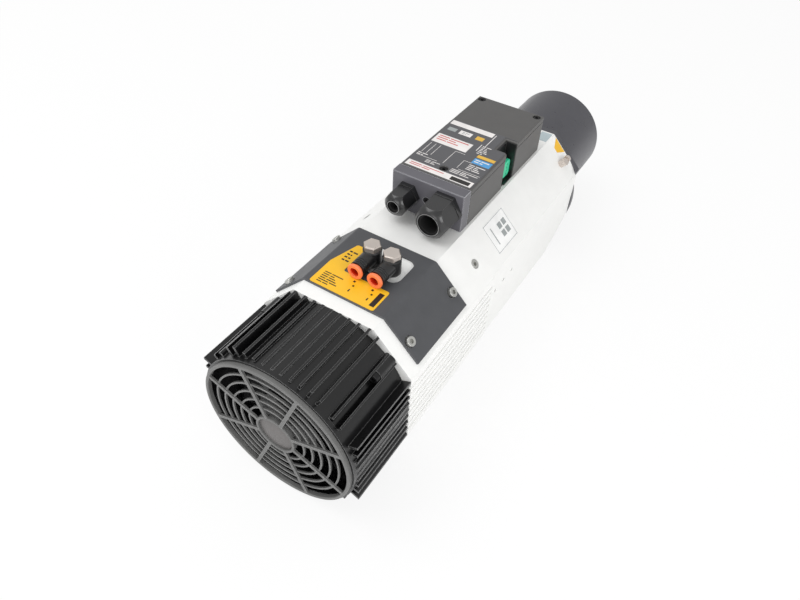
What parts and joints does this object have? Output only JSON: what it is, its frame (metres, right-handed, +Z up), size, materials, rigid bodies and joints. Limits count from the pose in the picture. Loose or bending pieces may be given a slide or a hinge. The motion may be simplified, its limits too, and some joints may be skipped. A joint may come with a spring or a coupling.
{
  "type": "motor spindle",
  "caption": "Air-cooled tool-changing motor spindle: finned fan cowl, bevelled square body, top terminal box with cable glands, push-in air elbows, round nose with a 7:24 taper.",
  "frame": {"origin": "middle of the flat mounting face under the body", "axes": "+Y along the spindle axis towards the nose, +Z up away from the mounting face, +X to the right seen from the fan end"},
  "size_m": [0.15, 0.576, 0.1883],
  "materials": {
    "satin_silver": "fine satin, silver-white",
    "black_finned_aluminium": "satin black",
    "black_steel": "black oxide",
    "grey_plastic": "fine matt",
    "black_plastic": "matt",
    "grey_paint": "satin grey",
    "bright_steel": "zinc plated",
    "yellow_film": "printed film",
    "aluminium_washer": "turned",
    "nickel": "nickel plated",
    "orange_plastic": "smooth",
    "rubber_black": "matt",
    "pale_plastic": "matt",
    "green_plastic": "smooth",
    "grey_film": "printed film",
    "dark_aluminium": "dark grey satin",
    "ground_steel": "ground",
    "lamination_steel": "stacked sheet",
    "copper_winding": "varnished copper"
  },
  "bodies": {
    "housing": {"body_housing": "satin_silver", "cooling_cowl": "black_finned_aluminium", "cowl_screws": "black_steel", "fan_guard": "grey_plastic", "guard_hub": "grey_plastic", "fan_mount": "black_steel", "fan_motor": "black_steel", "port_plate": "grey_paint", "bevel_screws": "bright_steel", "port_label": "yellow_film", "port_washers": "aluminium_washer", "banjo_screws": "nickel", "terminal_box": "grey_paint", "box_gasket": "rubber_black", "box_cover": "grey_paint", "gland_end_cap": "grey_paint", "box_screws": "black_steel", "terminal_block": "pale_plastic", "signal_socket": "black_plastic", "signal_plug": "green_plastic", "box_label": "grey_film", "gland_bodies": "black_plastic", "gland_nuts": "black_plastic", "gland_seals": "rubber_black", "purge_fitting": "nickel", "purge_cap": "nickel", "nose_housing": "dark_aluminium", "flange_screws": "black_steel", "nose_cap": "dark_aluminium", "nose_cap_screws": "black_steel", "bearing_spacer": "ground_steel", "bearing_outer_rings": "ground_steel", "rear_bearing_housing": "satin_silver", "stator_core": "lamination_steel", "stator_windings": "copper_winding", "release_cylinder": "satin_silver", "cylinder_cover": "satin_silver", "retaining_ring": "black_steel", "speed_sensor": "black_plastic"},
    "spindle": {"spindle_shaft": "ground_steel", "drive_keys": "black_steel", "key_screws": "black_steel", "shaft_sleeves": "ground_steel", "shaft_lock_nut": "black_steel", "bearing_inner_rings": "ground_steel", "rotor_core": "lamination_steel", "speed_ring": "ground_steel"},
    "ball_sets": {"bearing_balls": "bright_steel"},
    "drawbar_unit": {"drawbar": "ground_steel", "tool_gripper": "ground_steel", "drawbar_nut": "black_steel"},
    "spring_pack_front": {"disc_springs_front": "black_steel"},
    "spring_pack_rear": {"disc_springs_rear": "black_steel"},
    "piston": {"release_piston": "satin_silver", "piston_seal": "rubber_black"},
    "fan": {"fan_rotor": "black_plastic"},
    "elbow_a": {"elbow_left": "black_plastic"},
    "elbow_b": {"elbow_right": "black_plastic"},
    "release_collet_a": {"collet_left": "orange_plastic"},
    "release_collet_b": {"collet_right": "orange_plastic"}
  },
  "joints": [
    {"name": "spindle_spin", "type": "hinge", "parent": "housing", "child": "spindle", "pos_m": [0, 0, 0.075], "axis": [0, 1, 0], "continuous": true},
    {"name": "ball_orbit", "type": "hinge", "parent": "housing", "child": "ball_sets", "pos_m": [0, 0, 0.075], "axis": [0, 1, 0], "continuous": true},
    {"name": "piston_slide", "type": "slide", "parent": "housing", "child": "piston", "axis": [0, 1, 0], "range_m": [0, 0.006]},
    {"name": "drawbar_slide", "type": "slide", "parent": "spindle", "child": "drawbar_unit", "axis": [0, 1, 0], "range_m": [0, 0.006]},
    {"name": "front_springs_slide", "type": "slide", "parent": "spindle", "child": "spring_pack_front", "axis": [0, 1, 0], "range_m": [0, 0.002]},
    {"name": "rear_springs_slide", "type": "slide", "parent": "spindle", "child": "spring_pack_rear", "axis": [0, 1, 0], "range_m": [0, 0.004]},
    {"name": "fan_spin", "type": "hinge", "parent": "housing", "child": "fan", "pos_m": [0, 0, 0.075], "axis": [0, 1, 0], "continuous": true},
    {"name": "elbow_a_swivel", "type": "hinge", "parent": "housing", "child": "elbow_a", "pos_m": [-0.0044, -0.1112, 0.16], "axis": [0, 0, 1], "range_deg": [-90, 0]},
    {"name": "elbow_b_swivel", "type": "hinge", "parent": "housing", "child": "elbow_b", "pos_m": [0.0148, -0.1112, 0.16], "axis": [0, 0, 1], "range_deg": [0, 90]},
    {"name": "collet_a_press", "type": "slide", "parent": "elbow_a", "child": "release_collet_a", "axis": [0, 1, 0], "range_m": [0, 0.0015], "stiffness_N_per_m": 200},
    {"name": "collet_b_press", "type": "slide", "parent": "elbow_b", "child": "release_collet_b", "axis": [0, 1, 0], "range_m": [0, 0.0015], "stiffness_N_per_m": 200}
  ],
  "couplings": [
    {"joint": "ball_orbit", "follows": "spindle_spin", "ratio": 0.4406},
    {"joint": "drawbar_slide", "follows": "piston_slide", "ratio": 1},
    {"joint": "rear_springs_slide", "follows": "piston_slide", "ratio": 0.6666},
    {"joint": "front_springs_slide", "follows": "piston_slide", "ratio": 0.3333}
  ]
}
